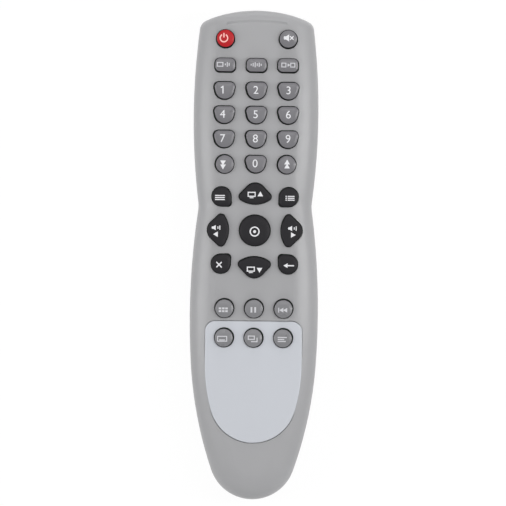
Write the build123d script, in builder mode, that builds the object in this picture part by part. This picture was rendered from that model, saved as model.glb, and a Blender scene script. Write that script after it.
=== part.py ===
from build123d import *
from collections import namedtuple
from math import sqrt
import os

# Satellite receiver remote control, lying on its back.
# Origin under the middle of the case, +Y towards the infrared end, +Z out of the key face.
# All sizes are in millimetres.

# Case
length = 195.0
top_z = 22.0
parting_z = 10.0
wall = 2.2
crown_radius = 3900.0
crown_apex_y = 5.0
nose_radius = 53.0
nose_round = 4.0
shoulder_round = 10.0
back_round = 7.0
upper_half_width = 24.92
upper_bulge_y = 56.0
upper_side_radius = 275.0
waist_y = 19.4
waist_blend = 12.0
lower_half_width = 25.6
lower_bulge_y = -24.0
belly_end_y = -43.0
tail_radius = 17.3

# Joint between the case halves
lip_height = 2.0
lip_thickness = 1.1
lip_clearance = 0.15
clip_thickness = 1.0
clip_length = 6.0
clip_height = 5.0
barb_height = 0.8
clip_ys = (72.0, 30.0, -8.0, -52.0)

# Brow line over the window
brow_y = 93.1
brow_radius = 75.0
brow_groove_radius = 1.2
brow_depth = 0.22
brow_half_width = 12.0

# Silver plate
plate_half_width = 19.25
plate_top_y = -26.2
plate_side_end_y = -44.0
plate_bottom_y = -74.7
plate_tail_radius = 17.2
plate_corner_radius = 4.0
plate_seat_depth = 1.0
plate_proud = 0.2
plate_clearance = 0.25
plate_edge_radius = 0.3

# Board and keypad mat
board_top_z = 13.2
board_thickness = 1.6
board_inset = 3.3
board_end_y = -37.9
mat_thickness = 1.2

# Keys
key_gap = 0.25
key_proud = 1.7
key_edge_radius = 0.6
key_travel = 0.9
web_reach = 0.55
web_height = 1.1
web_gap = 0.2
foot_lift = 0.1
plunger_radius = 1.9
pocket_margin = 0.8
pocket_depth = 1.0
pill_spare = 0.05
small_round_radius = 3.65
page_round_radius = 3.75
lower_round_radius = 3.8
ok_radius = 6.15
bar_width = 8.3
bar_height = 5.6
bar_corner_radius = 2.0
digit_width = 8.5
digit_height = 7.1
digit_corner_radius = 2.1
digit_tail_radius = 4.0
corner_key_radius = 3.85
corner_key_tip_radius = 1.4
corner_key_tip_reach = 5.0
dome_width = 12.8
dome_height = 8.5
dome_apex_radius = 4.3
dome_end_radius = 1.6
dome_end_drop = 1.2

# Key places
power_row_y = 86.0
bar_row_y = 75.5
outer_column_x = 12.5
digit_column_x = 12.7
digit_row_y = 65.4
digit_row_pitch = 9.65
zero_row_y = 36.2
page_column_x = 12.35
pad_y = 9.9
pad_corner_offset = 13.4
pad_arrow_offset = 14.65
guide_row_y = -21.1
subtitle_row_y = -32.8
lower_column_x = 11.75

# Board screws
screw_radius = 1.0
screw_length = 5.0
screw_head_radius = 2.0
screw_head_height = 1.3
screw_slot = 0.5
boss_radius = 2.2
boss_clearance = 0.35
pilot_clearance = 0.05
board_hole_clearance = 0.2
screw_point_gap = 0.3
screw_slot_share = 0.6
screw_places = ((6.3, 81.8), (-6.3, 81.8), (18.7, 30.0), (-18.7, 30.0), (15.0, -12.3), (-15.0, -12.3))

# Infrared window and emitter
window_half_width = 11.0
window_height = 6.2
window_fit = 0.1
window_flange = 1.0
window_flange_reach = 1.2
led_radius = 2.5
led_length = 8.6
led_rim_radius = 2.9
led_rim_thickness = 1.0
led_axis_z = 13.0
led_gap = 0.5
led_notch_gap = 0.5
lead_size = 0.5
lead_pitch = 2.54
lead_run = 3.0
lead_drop_gap = 0.5

# Cells and their bay
cell_radius = 5.25
cell_length = 44.5
cell_nub_radius = 1.9
cell_nub_height = 0.9
cell_rim = 0.5
cell_gap = 0.6
bay_side_gap = 0.3
bay_wall = 1.0
bay_top_gap = 0.3
bay_inset = 3.0
bay_upper_y = -39.3
bay_length = 48.5
deck_thickness = 1.1

# Battery contacts
contact_thickness = 0.4
contact_width = 8.0
contact_low_z = 3.4
contact_high_z = 12.4
contact_gap = 0.1
dimple_radius = 1.6
dimple_depth = 0.3
leaf_width = 5.0
tab_width = 2.0
tab_reach = 1.6
tab_slot_gap = 0.15
leaf_bend_radius = 1.0
leaf_tip_drop = 1.0

# Battery cover
cover_half_width = 18.3
cover_end_y = -40.5
cover_height = 6.5
cover_wall = 1.8
cover_gap = 0.15
cell_seat_gap = 0.3
tongue_width = 3.6
tongue_x = 15.2
tongue_reach = 2.6
tongue_root = 5.0
tongue_height = 1.3
tongue_slot_gap = 0.3
grip_half_width = 7.0
grip_y = -48.0
grip_pitch = 2.2
grip_count = 5
grip_width = 1.0
grip_depth = 0.55

# Parts on the board
chip_width = 7.6
chip_length = 12.8
chip_height = 2.3
chip_y = 58.0
chip_pin_count = 10
chip_pin_pitch = 1.27
chip_pin_width = 0.45
chip_pin_reach = 1.3
chip_pin_thickness = 0.25
resonator_size = (3.2, 7.4, 3.4)
resonator_place = (9.5, 58.0)
resonator_round = 0.8
capacitor_radius = 2.5
capacitor_length = 11.0
capacitor_place = (-10.0, 44.0)
capacitor_round = 0.5
transistor_radius = 2.3
transistor_flat = 1.3
transistor_height = 4.6
transistor_place = (9.5, 72.0)
transistor_lead_pitch = 1.27
transistor_stand_off = 1.6
resistor_size = (1.7, 3.3, 0.6)
resistor_places = ((-8.0, 71.0), (-5.0, 71.0), (-10.0, 60.0))

# Points closer than this count as one when an edge or corner is picked
same_place = 0.01

# Worked out from the sizes above
nose_y = length / 2
tail_y = -length / 2
tail_centre_y = tail_y + tail_radius
mat_top_z = board_top_z + mat_thickness
board_bottom_z = board_top_z - board_thickness
foot_z = mat_top_z - foot_lift
pill_z = board_top_z + key_travel + pill_spare
bay_lower_y = bay_upper_y - bay_length
cell_axis_x = cell_radius + cell_gap / 2
cell_axis_z = cover_wall + cell_seat_gap + cell_radius
bay_half_width = cell_axis_x + cell_radius + bay_side_gap
bay_top_z = cell_axis_z + cell_radius + bay_top_gap


def meeting_point(centre_a, radius_a, centre_b, radius_b):
    """Return the point where two circles cross, on the left as seen from a towards b."""
    apart = (centre_b - centre_a).length
    ahead = (centre_b - centre_a).normalized()
    foot = (radius_a**2 - radius_b**2 + apart**2) / (2 * apart)
    rise = sqrt(radius_a**2 - foot**2)
    return centre_a + ahead * foot + Vector(-ahead.Y, ahead.X) * rise


def touching_points(centre_a, radius_a, centre_b, radius_b):
    """Return where the line on the left of both circles, as seen from a towards b, touches each."""
    reach = centre_b - centre_a
    share = (radius_a - radius_b) / reach.length
    ahead = reach.normalized()
    outward = ahead * share + Vector(-ahead.Y, ahead.X) * sqrt(1 - share**2)
    return centre_a + outward * radius_a, centre_b + outward * radius_b


def flank(start, inward, end_centre_y, end_radius):
    """Fit the arc that starts square to inward and runs smoothly into an end circle on the Y axis.

    Returns the arc's centre and the point where it meets the circle.
    """
    end_centre = Vector(0, end_centre_y)
    start = Vector(start)
    inward = Vector(inward).normalized()
    reach = start - end_centre
    radius = (end_radius**2 - reach.dot(reach)) / (2 * (inward.dot(reach) + end_radius))
    centre = start + inward * radius
    join = end_centre + (end_centre - centre).normalized() * end_radius
    return centre, join


def arc_about(centre, start, end):
    """Draw the shorter arc about centre from start to end."""
    centre = Vector(centre)
    start = Vector(start)
    end = Vector(end)
    middle = centre + ((start + end) / 2 - centre).normalized() * (start - centre).length
    ThreePointArc(start, middle, end)


def mirrored(point, side):
    """Return a point of the right half, or its image in the left half when side is -1."""
    point = Vector(point)
    return Vector(side * point.X, point.Y)


# Plan outline of the case: an arc over the nose, a long arc down each upper side, a waist,
# a fuller arc round the belly, and a flank that runs into the round tail.
nose_centre = Vector(0, nose_y - nose_radius)
upper_centre = Vector(upper_half_width - upper_side_radius, upper_bulge_y)
waist_x = upper_centre.X + sqrt(upper_side_radius**2 - (upper_bulge_y - waist_y) ** 2)
belly_bulge = lower_half_width - waist_x
belly_radius = ((waist_y - lower_bulge_y) ** 2 + belly_bulge**2) / (2 * belly_bulge)
belly_centre = Vector(lower_half_width - belly_radius, lower_bulge_y)
belly_drop = lower_bulge_y - belly_end_y
belly_end = Vector(belly_centre.X + sqrt(belly_radius**2 - belly_drop**2), belly_end_y)
flank_centre, tail_join = flank(belly_end, belly_centre - belly_end, tail_centre_y, tail_radius)
tail_centre = Vector(0, tail_centre_y)


def towards(start, goal, distance):
    """Return the point at distance from start on the way to goal."""
    return start + (goal - start).normalized() * distance


def plan_face(inset=0.0, rounded=False):
    """Return the case's outline as a face, moved inwards by inset."""
    corner = meeting_point(upper_centre, upper_side_radius - inset, nose_centre, nose_radius - inset)
    waist = meeting_point(upper_centre, upper_side_radius - inset, belly_centre, belly_radius - inset)
    inner_belly_end = towards(belly_end, belly_centre, inset)
    inner_join = towards(tail_join, tail_centre, inset)
    tail_end = Vector(0, tail_y + inset)
    with BuildSketch() as plan:
        with BuildLine():
            arc_about(nose_centre, mirrored(corner, -1), corner)
            arc_about(tail_centre, mirrored(inner_join, -1), tail_end)
            arc_about(tail_centre, tail_end, inner_join)
            for side in (1, -1):
                arc_about(mirrored(upper_centre, side), mirrored(corner, side), mirrored(waist, side))
                arc_about(mirrored(belly_centre, side), mirrored(waist, side), mirrored(inner_belly_end, side))
                arc_about(mirrored(flank_centre, side), mirrored(inner_belly_end, side), mirrored(inner_join, side))
        make_face()
        waist_corners = plan.vertices().filter_by(lambda point: abs(point.Y - waist.Y) < same_place)
        fillet(waist_corners, radius=waist_blend + inset)
        if rounded:
            fillet(plan.vertices().group_by(Axis.Y)[-1], radius=nose_round - inset)
    return plan.sketch


def crown_z(y, inset=0.0):
    """Return the height of the crown over the length of the case."""
    return top_z - inset - crown_radius + sqrt(crown_radius**2 - (y - crown_apex_y) ** 2)


def crown_face(high_inset, low_inset=None):
    """Return the side view under the crown, or the band between two offsets of the crown."""
    with BuildSketch(Plane.YZ) as side:
        with BuildLine():
            high = [(y, crown_z(y, high_inset)) for y in (-length, crown_apex_y, length)]
            ThreePointArc(*high)
            if low_inset is None:
                low = [(-length, 0), (length, 0)]
                Line(*low)
            else:
                low = [(y, crown_z(y, low_inset)) for y in (-length, crown_apex_y, length)]
                ThreePointArc(*low)
            Line(high[0], low[0])
            Line(high[-1], low[-1])
        make_face()
    return side.sketch


def right_half(face):
    """Return the half of a face on the right of the Y axis."""
    with BuildSketch() as half:
        add(face)
        with Locations((length / 2, 0)):
            Rectangle(length, 2 * length, mode=Mode.INTERSECT)
    return half.sketch


def round_rim(form, rim, seam_z, rim_radius, end_radius):
    """Round the rim of a right half along its side and tail, then the nose with its upright corner."""
    sides = rim.edges().filter_by(lambda edge: edge.center().X > same_place).sort_by(Axis.Y)[:-1]
    fillet(sides, radius=rim_radius)
    end = form.faces().sort_by(Axis.Y)[-1]
    corner = end.edges().filter_by(lambda edge: edge.center().X > same_place)
    fillet(corner.filter_by(lambda edge: abs(edge.center().Z - seam_z) > same_place), radius=end_radius)


def upper_form(inset):
    """Return the solid inside the upper half of the case, or its hollow when inset by the wall."""
    plan = right_half(plan_face(inset))
    side = crown_face(inset)
    with BuildPart() as form:
        with BuildSketch(Plane.XY.offset(parting_z)):
            add(plan)
        extrude(amount=top_z)
        add(extrude(side, amount=length, both=True, mode=Mode.PRIVATE), mode=Mode.INTERSECT)
        rim = form.faces().sort_by(Axis.Z)[-1]
        round_rim(form, rim, parting_z, shoulder_round - inset, nose_round - inset)
        mirror(about=Plane.YZ)
    return form.part


def lower_form(inset):
    """Return the solid inside the lower half of the case, or its hollow when inset by the wall."""
    plan = right_half(plan_face(inset))
    with BuildPart() as form:
        with BuildSketch(Plane.XY.offset(inset)):
            add(plan)
        extrude(amount=parting_z - inset)
        rim = form.faces().sort_by(Axis.Z)[0]
        round_rim(form, rim, parting_z, back_round - inset, nose_round - inset)
        mirror(about=Plane.YZ)
    return form.part


def ring_face(outer_inset, inner_inset):
    """Return the strip between two offsets of the outline."""
    outer = plan_face(outer_inset, rounded=True)
    inner = plan_face(inner_inset, rounded=True)
    with BuildSketch() as ring:
        add(outer)
        add(inner, mode=Mode.SUBTRACT)
    return ring.sketch


def clip_face(outer_inset, inner_inset, run):
    """Return short strips of the ring, one at each clip on either side."""
    strip = ring_face(outer_inset, inner_inset)
    with BuildSketch() as bands:
        with Locations(*[(0, y) for y in clip_ys]):
            Rectangle(length, run)
    with BuildSketch() as clips:
        add(strip)
        add(bands.sketch, mode=Mode.INTERSECT)
    return clips.sketch


# Key outlines, each about its own centre
with BuildSketch() as small_round:
    Circle(small_round_radius)

with BuildSketch() as page_round:
    Circle(page_round_radius)

with BuildSketch() as lower_round:
    Circle(lower_round_radius)

with BuildSketch() as ok_round:
    Circle(ok_radius)

with BuildSketch() as bar:
    RectangleRounded(bar_width, bar_height, bar_corner_radius)

# Digit keys are shields: a flat top with round corners over a full, round bottom
shield_tail = Vector(0, digit_tail_radius - digit_height / 2)
shield_corner = Vector(digit_width / 2 - digit_corner_radius, digit_height / 2 - digit_corner_radius)
shield_top = shield_corner + Vector(0, digit_corner_radius)
shield_side, shield_join = touching_points(shield_corner, digit_corner_radius, shield_tail, digit_tail_radius)
with BuildSketch() as shield:
    with BuildLine():
        Line(mirrored(shield_top, -1), shield_top)
        arc_about(shield_tail, mirrored(shield_join, -1), shield_join)
        for side in (1, -1):
            arc_about(mirrored(shield_corner, side), mirrored(shield_top, side), mirrored(shield_side, side))
            Line(mirrored(shield_side, side), mirrored(shield_join, side))
    make_face()

# Corner keys of the pad are drops whose tip points at the OK key, here along -Y
drop_head = Vector(0, 0)
drop_top = Vector(0, corner_key_radius)
drop_tip = Vector(0, corner_key_tip_radius - corner_key_tip_reach)
drop_side, drop_join = touching_points(drop_head, corner_key_radius, drop_tip, corner_key_tip_radius)
with BuildSketch() as drop:
    with BuildLine():
        arc_about(drop_tip, mirrored(drop_join, -1), drop_join)
        for side in (1, -1):
            arc_about(drop_head, drop_top, mirrored(drop_side, side))
            Line(mirrored(drop_side, side), mirrored(drop_join, side))
    make_face()

# Channel and volume keys are domes: a round apex, round ends, and a shallow curve towards OK
dome_low = -dome_height / 2
dome_apex = Vector(0, dome_height / 2 - dome_apex_radius)
dome_end = Vector(dome_width / 2 - dome_end_radius, -dome_end_drop)
end_rise = dome_end.Y - dome_low
dome_base_radius = (dome_end.X**2 + end_rise**2 - dome_end_radius**2) / (2 * (end_rise - dome_end_radius))
base_centre = Vector(0, dome_low + dome_base_radius)
base_join = dome_end + (dome_end - base_centre).normalized() * dome_end_radius
apex_join, end_join = touching_points(dome_apex, dome_apex_radius, dome_end, dome_end_radius)
with BuildSketch() as dome:
    with BuildLine():
        arc_about(dome_apex, mirrored(apex_join, -1), apex_join)
        arc_about(base_centre, mirrored(base_join, -1), base_join)
        for side in (1, -1):
            Line(mirrored(apex_join, side), mirrored(end_join, side))
            arc_about(mirrored(dome_end, side), mirrored(end_join, side), mirrored(base_join, side))
    make_face()

# Every key: its outline, its place on the face, and its turn about its own centre
Key = namedtuple("Key", "outline x y turn")
keys = {
    "key_power": Key(small_round.sketch, -outer_column_x, power_row_y, 0),
    "key_mute": Key(small_round.sketch, outer_column_x, power_row_y, 0),
    "key_tv_radio": Key(bar.sketch, -outer_column_x, bar_row_y, 0),
    "key_audio": Key(bar.sketch, 0, bar_row_y, 0),
    "key_tv_receiver": Key(bar.sketch, outer_column_x, bar_row_y, 0),
    "key_0": Key(shield.sketch, 0, zero_row_y, 0),
    "key_page_down": Key(page_round.sketch, -page_column_x, zero_row_y, 0),
    "key_page_up": Key(page_round.sketch, page_column_x, zero_row_y, 0),
    "key_ok": Key(ok_round.sketch, 0, pad_y, 0),
    "key_menu": Key(drop.sketch, -pad_corner_offset, pad_y + pad_corner_offset, 45),
    "key_info": Key(drop.sketch, pad_corner_offset, pad_y + pad_corner_offset, -45),
    "key_exit": Key(drop.sketch, -pad_corner_offset, pad_y - pad_corner_offset, 135),
    "key_back": Key(drop.sketch, pad_corner_offset, pad_y - pad_corner_offset, -135),
    "key_channel_up": Key(dome.sketch, 0, pad_y + pad_arrow_offset, 0),
    "key_channel_down": Key(dome.sketch, 0, pad_y - pad_arrow_offset, 180),
    "key_volume_down": Key(dome.sketch, -pad_arrow_offset, pad_y, 90),
    "key_volume_up": Key(dome.sketch, pad_arrow_offset, pad_y, -90),
    "key_guide": Key(lower_round.sketch, -lower_column_x, guide_row_y, 0),
    "key_pause": Key(lower_round.sketch, 0, guide_row_y, 0),
    "key_last": Key(lower_round.sketch, lower_column_x, guide_row_y, 0),
    "key_subtitle": Key(lower_round.sketch, -lower_column_x, subtitle_row_y, 0),
    "key_tv_system": Key(lower_round.sketch, 0, subtitle_row_y, 0),
    "key_teletext": Key(lower_round.sketch, lower_column_x, subtitle_row_y, 0),
}
for number in range(9):
    row, column = divmod(number, 3)
    digit_x = (column - 1) * digit_column_x
    digit_y = digit_row_y - row * digit_row_pitch
    keys[f"key_{number + 1}"] = Key(shield.sketch, digit_x, digit_y, 0)


def key_faces(chosen, grow=0.0):
    """Return the outlines of the chosen keys in place on the face, each grown by grow."""
    with BuildSketch() as faces:
        for key in chosen:
            with Locations(Location((key.x, key.y, 0), (0, 0, key.turn))):
                add(key.outline)
        if grow:
            offset(amount=grow)
    return faces.sketch


# Silver plate: straight sides, round upper corners, flanks and tail like the case's own
plate_side_end = Vector(plate_half_width, plate_side_end_y)
plate_centre_y = plate_bottom_y + plate_tail_radius
plate_flank_centre, plate_join = flank(plate_side_end, (-1, 0), plate_centre_y, plate_tail_radius)
with BuildSketch() as plate_outline:
    with BuildLine():
        Line((-plate_half_width, plate_top_y), (plate_half_width, plate_top_y))
        arc_about((0, plate_centre_y), mirrored(plate_join, -1), (0, plate_bottom_y))
        arc_about((0, plate_centre_y), (0, plate_bottom_y), plate_join)
        for side in (1, -1):
            Line((side * plate_half_width, plate_top_y), mirrored(plate_side_end, side))
            arc_about(mirrored(plate_flank_centre, side), mirrored(plate_side_end, side), mirrored(plate_join, side))
    make_face()
    fillet(plate_outline.vertices().group_by(Axis.Y)[-1], radius=plate_corner_radius)

with BuildSketch() as plate_seat:
    add(plate_outline.sketch)
    offset(amount=plate_clearance)

all_apertures = key_faces(keys.values(), key_gap)
plate_keys = [key for key in keys.values() if key.y < plate_top_y]
plate_apertures = key_faces(plate_keys, key_gap)

outer_top = upper_form(0.0)
hollow_top = upper_form(wall)
outer_bottom = lower_form(0.0)
hollow_bottom = lower_form(wall)
lip_inset = wall - lip_thickness
lip_ring = ring_face(lip_inset, wall)
lip_groove = ring_face(lip_inset - lip_clearance, wall + lip_clearance)
clip_inset = wall + lip_clearance
barb_strip = clip_face(wall - lip_thickness / 2, clip_inset, clip_length)
barb_window = clip_face(lip_inset, wall, clip_length + 2 * lip_clearance)
clip_strip = clip_face(clip_inset, clip_inset + clip_thickness, clip_length)
clip_root = clip_face(wall, clip_inset + clip_thickness, clip_length)
barb_z = parting_z - barb_height - lip_clearance
window_z = barb_z - lip_clearance

# Top case: the upper shell with its key apertures, plate recess, window notch, lip and bosses
plate_recess = Part() + extrude(plate_seat.sketch, amount=2 * top_z, mode=Mode.PRIVATE)
plate_recess = plate_recess & extrude(crown_face(-top_z, plate_seat_depth), amount=length, both=True, mode=Mode.PRIVATE)
with BuildPart() as window_notch:
    with BuildSketch(Plane.XY.offset(parting_z - 2 * lip_height)):
        with Locations((0, nose_y)):
            Rectangle(2 * window_half_width, 2 * nose_round)
    extrude(amount=window_height + 2 * lip_height)

brow_axis_z = crown_z(brow_y) + brow_groove_radius - brow_depth
with BuildPart() as brow_line:
    with Locations((0, brow_y - brow_radius, brow_axis_z)):
        Torus(brow_radius, brow_groove_radius)
    with BuildSketch(Plane.XY.offset(brow_axis_z - brow_groove_radius)):
        with Locations((0, brow_y)):
            Rectangle(2 * brow_half_width, brow_radius)
    extrude(amount=2 * brow_groove_radius, mode=Mode.INTERSECT)

with BuildPart() as top_case:
    add(outer_top)
    add(brow_line.part, mode=Mode.SUBTRACT)
    add(hollow_top, mode=Mode.SUBTRACT)
    with BuildSketch(Plane.XY.offset(parting_z - lip_height)):
        add(lip_ring)
    extrude(amount=lip_height)
    with BuildSketch(Plane.XY.offset(window_z)):
        add(barb_window)
    extrude(amount=parting_z - window_z, mode=Mode.SUBTRACT)
    with BuildSketch(Plane.XY.offset(board_top_z)):
        with Locations(*screw_places):
            Circle(boss_radius)
    extrude(until=Until.NEXT)
    with BuildSketch(Plane.XY.offset(parting_z)):
        add(all_apertures)
    extrude(amount=top_z, mode=Mode.SUBTRACT)
    add(plate_recess, mode=Mode.SUBTRACT)
    add(window_notch.part, mode=Mode.SUBTRACT)
    with BuildSketch(Plane.XY.offset(board_top_z)):
        with Locations(*screw_places):
            Circle(screw_radius + pilot_clearance)
    extrude(amount=screw_length, mode=Mode.SUBTRACT)

# Bottom case: the lower shell with its cell bay, deck and bulkhead, cut out for the sliding cover
cover_top_z = cover_height + cover_gap
bay_centre_y = (bay_upper_y + bay_lower_y) / 2
with BuildPart() as cover_cut:
    with BuildSketch():
        with Locations((0, (cover_end_y + cover_gap + 2 * tail_y) / 2)):
            Rectangle(2 * (cover_half_width + cover_gap), cover_end_y + cover_gap - 2 * tail_y)
    extrude(amount=cover_top_z)

with BuildPart() as deck:
    with BuildSketch(Plane.XY.offset(cover_top_z)):
        with Locations((0, (bay_upper_y + bay_wall + 2 * tail_y) / 2)):
            Rectangle(length, bay_upper_y + bay_wall - 2 * tail_y)
    extrude(amount=deck_thickness)
    with BuildSketch():
        with Locations((0, bay_upper_y + bay_wall / 2)):
            Rectangle(length, bay_wall)
    extrude(amount=cover_top_z + deck_thickness)
    add(hollow_bottom, mode=Mode.INTERSECT)

bay_lower_room = lower_form(cover_wall + cover_gap)
bay_upper_face = plan_face(bay_inset)
with BuildPart() as bay_block:
    with BuildSketch(Plane.XY.offset(parting_z)):
        add(bay_upper_face)
    extrude(amount=parting_z)
    add(bay_lower_room)
    with BuildSketch(Plane.XY.offset(wall)):
        with Locations((0, bay_centre_y)):
            Rectangle(2 * (bay_half_width + bay_wall), bay_length + 2 * bay_wall)
    extrude(amount=bay_top_z + bay_wall - wall, mode=Mode.INTERSECT)

with BuildPart() as bottom_case:
    add(outer_bottom)
    add(hollow_bottom, mode=Mode.SUBTRACT)
    add(cover_cut.part, mode=Mode.SUBTRACT)
    add(deck.part)
    add(bay_block.part)
    with BuildSketch(Plane.XY.offset(wall)):
        with Locations((0, bay_centre_y)):
            Rectangle(2 * bay_half_width, bay_length)
    extrude(amount=bay_top_z - wall, mode=Mode.SUBTRACT)
    with BuildSketch(Plane.XY.offset(wall)):
        with Locations((tongue_x, bay_upper_y), (-tongue_x, bay_upper_y)):
            Rectangle(tongue_width + 2 * tongue_slot_gap, 4 * bay_wall)
    extrude(amount=tongue_height + tongue_slot_gap, mode=Mode.SUBTRACT)
    with BuildSketch(Plane.XY.offset(board_bottom_z - contact_thickness - tab_slot_gap)):
        with Locations((cell_axis_x, bay_upper_y), (-cell_axis_x, bay_upper_y)):
            Rectangle(tab_width + 2 * tab_slot_gap, 3 * bay_wall)
    extrude(amount=contact_thickness + 2 * tab_slot_gap, mode=Mode.SUBTRACT)
    with BuildSketch(Plane.XY.offset(parting_z - lip_height - lip_clearance)):
        add(lip_groove)
    extrude(amount=lip_height + lip_clearance, mode=Mode.SUBTRACT)
    with BuildSketch(Plane.XY.offset(parting_z - clip_height)):
        add(clip_root)
    extrude(amount=clip_height - lip_height - lip_clearance)
    with BuildSketch(Plane.XY.offset(parting_z - lip_height - lip_clearance)):
        add(clip_strip)
    extrude(amount=lip_height)
    with BuildSketch(Plane.XY.offset(barb_z)):
        add(barb_strip)
    extrude(amount=barb_height)

# Battery cover: the lower end of the back, which slides off towards the tail
with BuildPart() as battery_cover:
    with BuildSketch():
        with Locations((0, (cover_end_y + 2 * tail_y) / 2)):
            Rectangle(2 * cover_half_width, cover_end_y - 2 * tail_y)
    extrude(amount=cover_height)
    add(outer_bottom, mode=Mode.INTERSECT)
    add(lower_form(cover_wall), mode=Mode.SUBTRACT)
    with BuildSketch(Plane.XY.offset(wall + cover_gap)):
        with Locations((tongue_x, cover_end_y), (-tongue_x, cover_end_y)):
            Rectangle(tongue_width, 2 * tongue_reach)
    extrude(amount=tongue_height - cover_gap)
    with BuildSketch(Plane.XY.offset(cover_wall)):
        with Locations((tongue_x, cover_end_y), (-tongue_x, cover_end_y)):
            Rectangle(tongue_width, tongue_root, align=(Align.CENTER, Align.MAX))
    extrude(amount=tongue_height + wall - cover_wall)
    with BuildSketch():
        with Locations(*[(0, grip_y - ridge * grip_pitch) for ridge in range(grip_count)]):
            SlotOverall(2 * grip_half_width, grip_width)
    extrude(amount=grip_depth, mode=Mode.SUBTRACT)

# Silver plate, in its recess over the crown
with BuildPart() as front_plate:
    add(extrude(plate_outline.sketch, amount=2 * top_z, mode=Mode.PRIVATE))
    band = crown_face(-plate_proud, plate_seat_depth)
    add(extrude(band, amount=length, both=True, mode=Mode.PRIVATE), mode=Mode.INTERSECT)
    fillet(front_plate.faces().sort_by(Axis.Z)[-1].edges(), radius=plate_edge_radius)
    with BuildSketch(Plane.XY.offset(parting_z)):
        add(plate_apertures)
    extrude(amount=top_z, mode=Mode.SUBTRACT)

# Infrared window: a smoked insert in the nose with a flange behind it and a tongue below
window_shell = outer_top - hollow_top
window_back = hollow_top - upper_form(wall + window_flange)
with BuildPart() as ir_window:
    with BuildSketch(Plane.XY.offset(parting_z)):
        with Locations((0, nose_y)):
            Rectangle(2 * (window_half_width - window_fit), 2 * nose_round)
    extrude(amount=window_height - window_fit)
    add(window_shell, mode=Mode.INTERSECT)
with BuildPart() as window_flange_block:
    with BuildSketch(Plane.XY.offset(parting_z)):
        with Locations((0, nose_y)):
            Rectangle(2 * (window_half_width + window_flange_reach), 2 * nose_round)
    extrude(amount=window_height + window_flange_reach)
    add(window_back, mode=Mode.INTERSECT)
with BuildPart() as window_tongue:
    with BuildSketch(Plane.XY.offset(parting_z - lip_height)):
        add(lip_ring)
    extrude(amount=lip_height)
    with BuildSketch(Plane.XY):
        with Locations((0, nose_y)):
            Rectangle(2 * (window_half_width - window_fit), 4 * nose_round)
    extrude(amount=top_z, mode=Mode.INTERSECT)
ir_window.part = ir_window.part + window_flange_block.part + window_tongue.part

# Emitter: a round lens with a rim, lying in the notch of the board, its legs bent under the board
led_tip_y = nose_y - wall - window_flange - led_gap
led_base_y = led_tip_y - led_length
led_bend_y = led_base_y - lead_drop_gap
notch_end_y = led_bend_y - lead_size / 2 - led_notch_gap
lead_z = board_bottom_z - lead_size / 2
with BuildPart() as ir_led:
    with BuildSketch(Plane.XY.offset(led_axis_z)):
        with BuildLine():
            Polyline(
                (0, led_base_y),
                (led_rim_radius, led_base_y),
                (led_rim_radius, led_base_y + led_rim_thickness),
                (led_radius, led_base_y + led_rim_thickness),
                (led_radius, led_tip_y - led_radius),
            )
            RadiusArc((led_radius, led_tip_y - led_radius), (0, led_tip_y), -led_radius)
            Line((0, led_tip_y), (0, led_base_y))
        make_face()
    revolve(axis=Axis((0, 0, led_axis_z), (0, 1, 0)))
    for lead_x in (-lead_pitch / 2, lead_pitch / 2):
        with BuildSketch(Plane.YZ.offset(lead_x)):
            with BuildLine() as lead_line:
                Polyline((led_base_y, led_axis_z), (led_bend_y, led_axis_z), (led_bend_y, lead_z), (led_bend_y - lead_run, lead_z))
            trace(lead_line.line, lead_size)
        extrude(amount=lead_size / 2, both=True)

with BuildSketch() as led_notch:
    with Locations((0, (notch_end_y + 2 * nose_y) / 2)):
        Rectangle(2 * (led_rim_radius + led_notch_gap), 2 * nose_y - notch_end_y)

# Circuit board, under the keypad mat
board_face = plan_face(board_inset, rounded=True)
with BuildPart() as circuit_board:
    with BuildSketch(Plane.XY.offset(board_bottom_z)) as board_sketch:
        add(board_face)
        with Locations((0, (board_end_y + nose_y) / 2)):
            Rectangle(length, nose_y - board_end_y, mode=Mode.INTERSECT)
        add(led_notch.sketch, mode=Mode.SUBTRACT)
        with Locations(*screw_places):
            Circle(screw_radius + board_hole_clearance, mode=Mode.SUBTRACT)
    extrude(amount=board_thickness)

# Keypad mat: the sheet that joins the keys, with a hole round the foot of each
mat_holes = key_faces(keys.values(), web_reach + web_gap)
with BuildPart() as keypad_mat:
    with BuildSketch(Plane.XY.offset(board_top_z)):
        add(board_face)
        with Locations((0, (board_end_y + nose_y) / 2)):
            Rectangle(length, nose_y - board_end_y, mode=Mode.INTERSECT)
        add(led_notch.sketch, mode=Mode.SUBTRACT)
        add(mat_holes, mode=Mode.SUBTRACT)
        with Locations(*screw_places):
            Circle(boss_radius + boss_clearance, mode=Mode.SUBTRACT)
    extrude(amount=mat_thickness)

# Board screws, driven from below into the bosses of the top case
with BuildPart() as board_screws:
    with BuildSketch(Plane.XY.offset(board_bottom_z - screw_head_height)):
        with Locations(*screw_places):
            Circle(screw_head_radius)
    extrude(amount=screw_head_height)
    with BuildSketch(Plane.XY.offset(board_bottom_z)):
        with Locations(*screw_places):
            Circle(screw_radius)
    extrude(amount=board_thickness + screw_length - screw_point_gap)
    with BuildSketch(Plane.XY.offset(board_bottom_z - screw_head_height)):
        with Locations(*screw_places):
            Rectangle(2 * screw_head_radius * screw_slot_share, screw_slot)
            Rectangle(screw_slot, 2 * screw_head_radius * screw_slot_share)
    extrude(amount=screw_slot, mode=Mode.SUBTRACT)

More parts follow.
